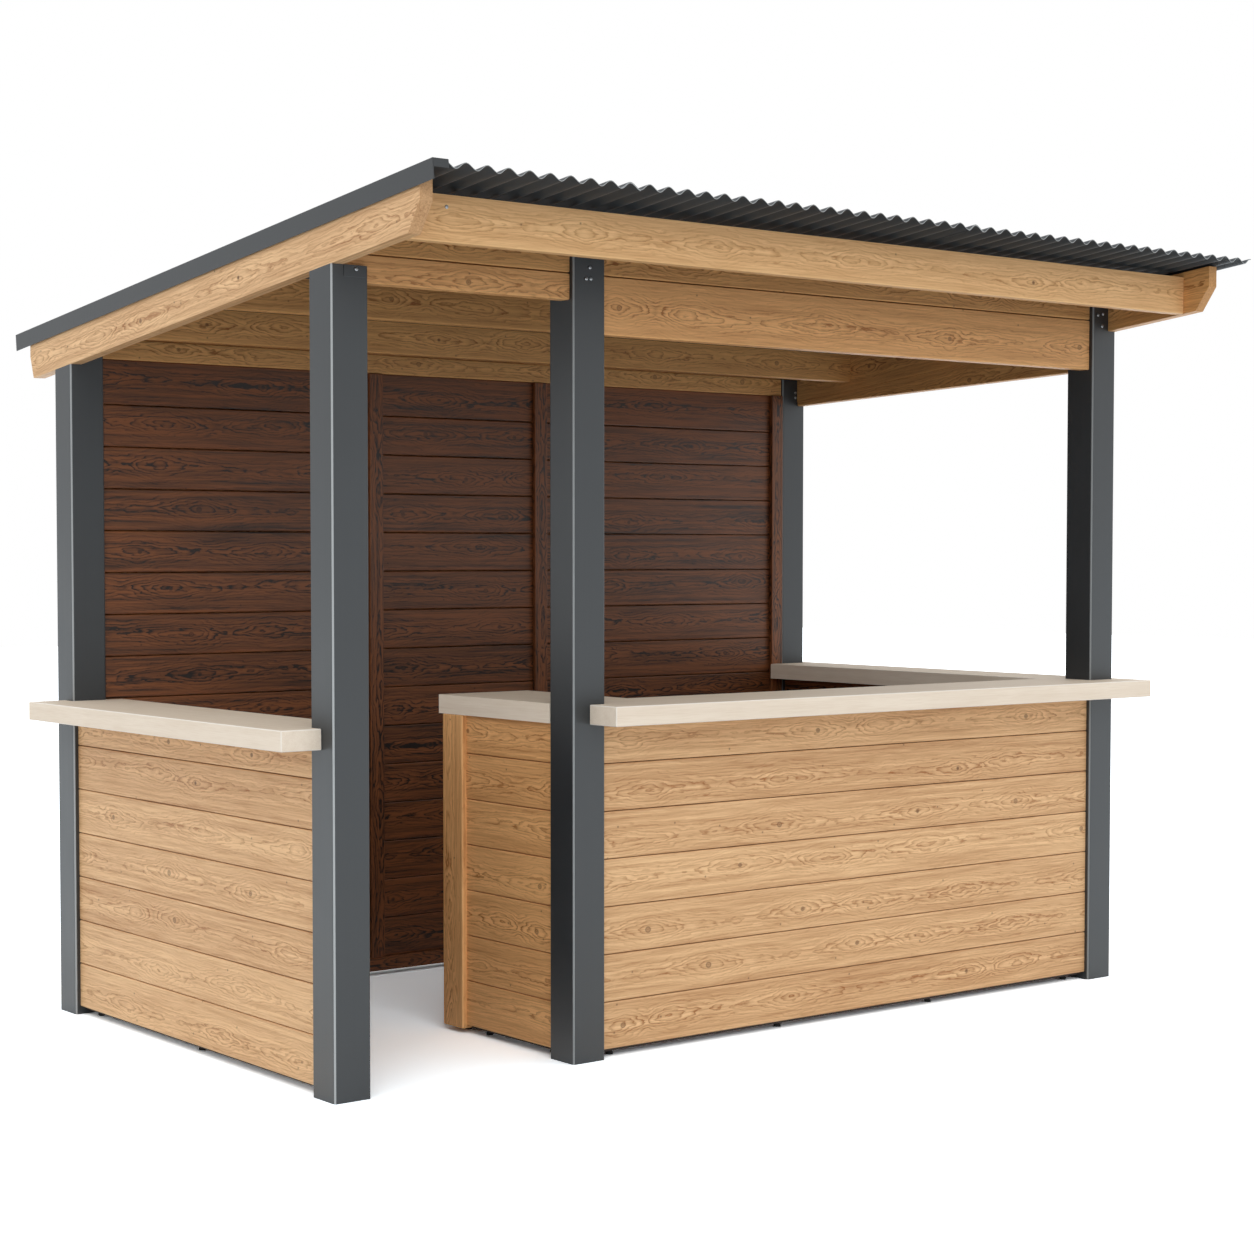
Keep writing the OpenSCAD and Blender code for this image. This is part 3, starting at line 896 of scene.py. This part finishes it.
def rake_board(name, node, inward, finish):
    """A sloping board with plumb ends that are cut back below."""
    lo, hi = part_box(node)
    piece = block(name, lo, hi)
    front, rear = lo.y + RAKE_CUT_FRONT, hi.y - RAKE_CUT_REAR
    cut_roof(piece)
    cut_slope(piece, (front, rake_under(front)), (rear, rake_under(rear)), above=False)
    cut_slope(piece, (lo.y, roof_at(lo.y) - RAKE_PLUMB), (front, rake_under(front)), above=False)
    cut_slope(piece, (hi.y, roof_at(hi.y) - RAKE_PLUMB), (rear, rake_under(rear)), above=False)
    return timber(piece, node, DOWN_ROOF, OFF_ROOF, inward, finish)


def gable_board(name, node):
    """A tapered board under the right rake board."""
    lo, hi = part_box(node)
    piece = block(name, lo, hi)
    cut_slope(piece, (lo.y, rake_under(lo.y)), (hi.y, rake_under(hi.y)), above=True)
    cut_slope(piece, (lo.y, rake_under(lo.y) - GABLE_FRONT), (hi.y, lo.z), above=False)
    return timber(piece, node, DOWN_ROOF, OFF_ROOF, ALONG_X)


def entry_beam(name, node):
    """The header over the entry, notched over the shorter front left post."""
    lo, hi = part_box(node)
    piece = block(name, lo, hi - UP * HEADER_GAP)
    carve(piece, short_lo - ALONG_Y, short_hi + ALONG_Y)
    return timber(piece, node, ALONG_X, UP, ALONG_Y, ENTRY_SHADE_OAK)


def end_post(name, node):
    """The return's wooden end post, with well rounded corners."""
    piece = block(name, *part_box(node))
    edit(piece, "EDGE", lambda edge: runs_along(edge, 2), bpy.ops.mesh.bevel,
         offset=END_POST_RADIUS, segments=5)
    return timber(piece, node, UP, ALONG_Y, ALONG_X, ENTRY_SHADE_OAK)


def batten_row(name, node):
    """The battens over the back wall's boards."""
    lo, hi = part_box(node)
    battens = []
    for x0, x1 in zip(battens_x[::2], battens_x[1::2]):
        piece = block("batten", (x0, lo.y, lo.z), (x1, hi.y, hi.z))
        soften(piece, BEAM_EDGE, 2)
        battens.append(lay_grain(piece, UP, ALONG_X, ALONG_Y))
    return dress(joined(name, battens), STAINED, "dark_wood", node)


rake_board("left_rake_board", "left_rake", ALONG_X, OAK)
rake_board("right_rake_board", "right_rake", -ALONG_X, SHADE_OAK)
gable_board("right_gable_infill", "right_gable_board")
entry_beam("entry_beam", "entry_header")
cross_beam("counter_beam", "counter_header", roofed=False, finish=ENTRY_SHADE_OAK, gap=HEADER_GAP)
cross_beam("entry_top_plate", "entry_plate")
cross_beam("counter_top_plate", "counter_plate")
cross_beam("front_purlin", "purlin_front")
cross_beam("rear_purlin", "purlin_rear")
cross_beam("front_fascia_board", "front_fascia", finish=FASCIA_LIT_OAK)
cross_beam("rear_fascia_board", "rear_fascia", inward=-ALONG_Y, finish=OAK)
cross_beam("wall_beam", "back_beam", roofed=False)
end_post("return_end_upright", "return_end_post")
batten_row("wall_battens", "back_battens")
plinth = block("wall_plinth", *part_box("back_plinth"))
timber(plinth, "back_plinth", ALONG_X, UP, ALONG_Y, STAINED, "dark_wood")


# Roof

def on_roof(piece):
    """Turns a piece that was made level, at the front posts' tops, into the roof plane."""
    edit(piece, "VERT", everything, bpy.ops.transform.rotate, value=PITCH, orient_axis="X",
         center_override=(0, entry_lo.y, entry_hi.z))


def sheet_run(node, lift):
    """Where a sheet starts and ends, along the roof from the front posts' tops."""
    lo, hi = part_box(node)
    rise = (lift + WAVE_DEPTH + SHEET) * math.sin(PITCH)
    return [entry_lo.y + (y - entry_lo.y) / math.cos(PITCH) for y in (lo.y, hi.y - rise)]


def roof_sheet(name, node, lift):
    """A corrugated sheet: one wave, shaped step by step, in a row that is cut to the sheet's width."""
    lo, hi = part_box(node)
    front, back = sheet_run(node, lift)
    level = entry_hi.z + lift
    bpy.ops.object.select_all(action="DESELECT")
    bpy.ops.mesh.primitive_grid_add(
        x_subdivisions=WAVE_STEPS, y_subdivisions=1, size=1,
        location=(lo.x + WAVE / 2, (front + back) / 2, level))
    bpy.ops.transform.resize(value=(WAVE, back - front, 1))
    bpy.ops.object.transform_apply()
    piece = name_piece(name)
    for step in range(1, WAVE_STEPS):
        x = lo.x + step * WAVE / WAVE_STEPS
        rise = WAVE_DEPTH / 2 * (1 - math.cos(2 * math.pi * step / WAVE_STEPS))
        edit(piece, "VERT", lambda vert: abs(vert.co.x - x) < WAVE / WAVE_STEPS / 4,
             bpy.ops.transform.translate, value=(0, 0, rise))
    waves = math.ceil((hi.x - lo.x - WELD) / WAVE)
    apply_modifier(piece, "ARRAY", count=waves, use_relative_offset=False, use_constant_offset=True,
                   constant_offset_displace=(WAVE, 0, 0), use_merge_vertices=True, merge_threshold=WELD)
    apply_modifier(piece, "SOLIDIFY", thickness=SHEET, offset=1.0)
    cut(piece, (hi.x, 0, 0), ALONG_X)
    on_roof(piece)
    smooth(piece, SMOOTH_ROUNDS)
    # The front cut edges: bare metal with a painted highlight
    mark(piece, "shine", lambda face: CUT_EDGE if face.normal.y < -FACING else 0.0)
    return dress(piece, SHEET_COAT, "roof_metal", node)


def verge_trim(name, node):
    """An angle over the sheets' left edge: a strip with one edge extruded down, and a flap at its front."""
    lo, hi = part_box(node)
    front, back = sheet_run("roof_sheet_left", SHEET_GAP)
    top = entry_hi.z + 2 * SHEET_GAP + WAVE_DEPTH + SHEET + TRIM
    down = (hi.z - lo.z) / math.cos(PITCH) - (back - front) * math.tan(PITCH)
    piece = block(name, (lo.x, front, top - TRIM), (hi.x, back, top))
    edit(piece, "FACE", everything, bpy.ops.mesh.bisect, plane_co=(lo.x + TRIM, 0, 0), plane_no=(1, 0, 0))
    edit(piece, "FACE", lambda face: face.normal.z < -FACING and face.calc_center_median().x < lo.x + TRIM,
         bpy.ops.mesh.extrude_region_move, TRANSFORM_OT_translate={"value": (0, 0, TRIM - down)})
    flap = block("flap", (lo.x + TRIM / 2, front - FLAP / 2, entry_hi.z),
                 (hi.x, front + FLAP / 2, top - TRIM / 2))
    for part, edge in ((piece, TRIM / 3), (flap, FLAP / 4)):
        on_roof(part)
        soften(part, edge, 2)
    return dress(joined(name, [piece, flap]), ANTHRACITE, "roof_metal", node)


def roof_screws(name):
    """Screws through the crests of the sheets, every few waves, over the beams that carry them."""
    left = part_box("roof_sheet_left")[0].x
    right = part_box("roof_sheet_right")[1].x
    lapped_lo, lapped_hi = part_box("roof_sheet_middle")
    places = []
    for node in ("front_fascia", "counter_plate", "purlin_front", "purlin_rear", "rear_fascia"):
        lo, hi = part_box(node)
        y = entry_lo.y + ((lo.y + hi.y) / 2 - entry_lo.y) / math.cos(PITCH)
        for wave in range(FIRST_SCREW_WAVE, int((right - left) / WAVE), SCREW_WAVES):
            x = left + (wave + 0.5) * WAVE
            lift = LAP_LIFT if lapped_lo.x < x < lapped_hi.x else SHEET_GAP
            crest = entry_hi.z + lift + WAVE_DEPTH + SHEET
            places.append(Vector((x, y, crest - WASHER_RISE / 2)))
    first = raised_disc(
        name, places[0], radius=WASHER, rise=WASHER_RISE, neck=WASHER / 4, height=HEAD_RISE)
    piece = repeated(name, first, places)
    on_roof(piece)
    return dress(piece, ANTHRACITE, "roof_metal")


roof_sheet("left_sheet", "roof_sheet_left", SHEET_GAP)
roof_sheet("middle_sheet", "roof_sheet_middle", LAP_LIFT)
roof_sheet("right_sheet", "roof_sheet_right", SHEET_GAP)
verge_trim("left_verge_angle", "left_verge_trim")
roof_screws("roof_screws")


# Feet

def panel_feet(name, node, axis):
    """Round rubber feet under a panel, one for each pad."""
    lo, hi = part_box(node)
    edges = sorted({round(v.co[axis], 4) for v in nodes[node].data.vertices})
    places = []
    for start, end in zip(edges[::2], edges[1::2]):
        place = (lo + hi) / 2
        place[axis], place.z = (start + end) / 2, lo.z
        places.append(place)
    rise = (hi.z - lo.z) / 2
    first = raised_disc(name, places[0], radius=FOOT, rise=rise, neck=FOOT / 4, height=rise)
    soften(first, FOOT_EDGE, 2)
    return dress(repeated(name, first, places), RUBBER, "pads", node)


for side, axis in (("left", 1), ("front", 0), ("right", 1), ("return", 1), ("back", 0)):
    panel_feet(side + "_feet", side + "_pads", axis)


# Rails, which stay as they are

def finish_rails(node, finish):
    """Gives a panel's rails their finish."""
    nodes[node].data.materials.clear()
    nodes[node].data.materials.append(finish)


for side in ("left", "front", "right", "return", "back"):
    finish_rails(side + "_rails", RAIL_DARK)


# Floor, light and camera

# The floor's level for the light that it passes on, and what is added to it where it is seen
FLOOR_SIZE = 60.0
FLOOR_LEVEL = 0.55
FLOOR_LIFT = (1.40, 1.52, 1.60)

# The light from all round, and the wide light from the front left, with its spread in degrees
AMBIENT = 0.9
SUN_FROM = (-0.5, -0.9, 0.8)
SUN_SPREAD = 50.0
SUN_STRENGTH = 0.62

# The camera's place in metres, its turn and tilt in degrees, and its lens in millimetres
CAMERA_PLACE = (-5.0341, -6.3623, 1.5279)
CAMERA_YAW = 37.90
CAMERA_TILT = -2.371
CAMERA_LENS = 68.0
CAMERA_SHIFT = (0.0195, 0.0200)


def seen_directly(start):
    """1 for rays that show the background: from the camera, a gloss or through glass."""
    path = start.node("LightPath", {}, {}, "Is Camera Ray")
    total = path + path.other("Is Glossy Ray") + path.other("Is Transmission Ray")
    return total.node("Math", {"operation": "MINIMUM"}, {0: total, 1: 1.0})


def white_world():
    world = bpy.data.worlds.new("studio")
    bpy.context.scene.world = world
    world.use_nodes = True
    world.node_tree.nodes.clear()
    start = Shade(world.node_tree)
    soft = start.node("Background", {}, {"Color": (1, 1, 1, 1), "Strength": AMBIENT})
    white = start.node("Background", {}, {"Color": (1, 1, 1, 1), "Strength": 1.0})
    both = start.node("MixShader", {}, {0: seen_directly(start), 1: soft, 2: white})
    start.node("OutputWorld", {}, {"Surface": both})


def pale_floor():
    """A floor that shows white in the open and keeps the shadow."""
    bpy.ops.object.select_all(action="DESELECT")
    bpy.ops.mesh.primitive_plane_add(size=FLOOR_SIZE)
    floor = name_piece("floor")
    material, start = start_material("pale_floor")
    seen = seen_directly(start)
    levels = {channel: FLOOR_LEVEL + seen * lift for channel, lift in enumerate(FLOOR_LIFT)}
    tint = seen.node("CombineColor", {}, levels)
    start.node("OutputMaterial", {}, {"Surface": start.node("BsdfDiffuse", {}, {"Color": tint})})
    floor.data.materials.append(material)


def soft_light(name, direction, spread, strength):
    """A wide, even light that comes from a direction."""
    lamp = bpy.data.lights.new(name, "SUN")
    lamp.angle, lamp.energy = math.radians(spread), strength
    light = bpy.data.objects.new(name, lamp)
    bpy.context.scene.collection.objects.link(light)
    light.rotation_euler = Vector(direction).to_track_quat("Z", "Y").to_euler()


def photo_camera():
    camera = bpy.data.objects.new("camera", bpy.data.cameras.new("camera"))
    bpy.context.scene.collection.objects.link(camera)
    camera.location = CAMERA_PLACE
    camera.rotation_euler = (math.radians(90 + CAMERA_TILT), 0, math.radians(-CAMERA_YAW))
    camera.data.lens = CAMERA_LENS
    camera.data.shift_x, camera.data.shift_y = CAMERA_SHIFT
    bpy.context.scene.camera = camera


white_world()
pale_floor()
soft_light("front_left_light", SUN_FROM, SUN_SPREAD, SUN_STRENGTH)
photo_camera()
bpy.context.scene.view_settings.view_transform = "Standard"
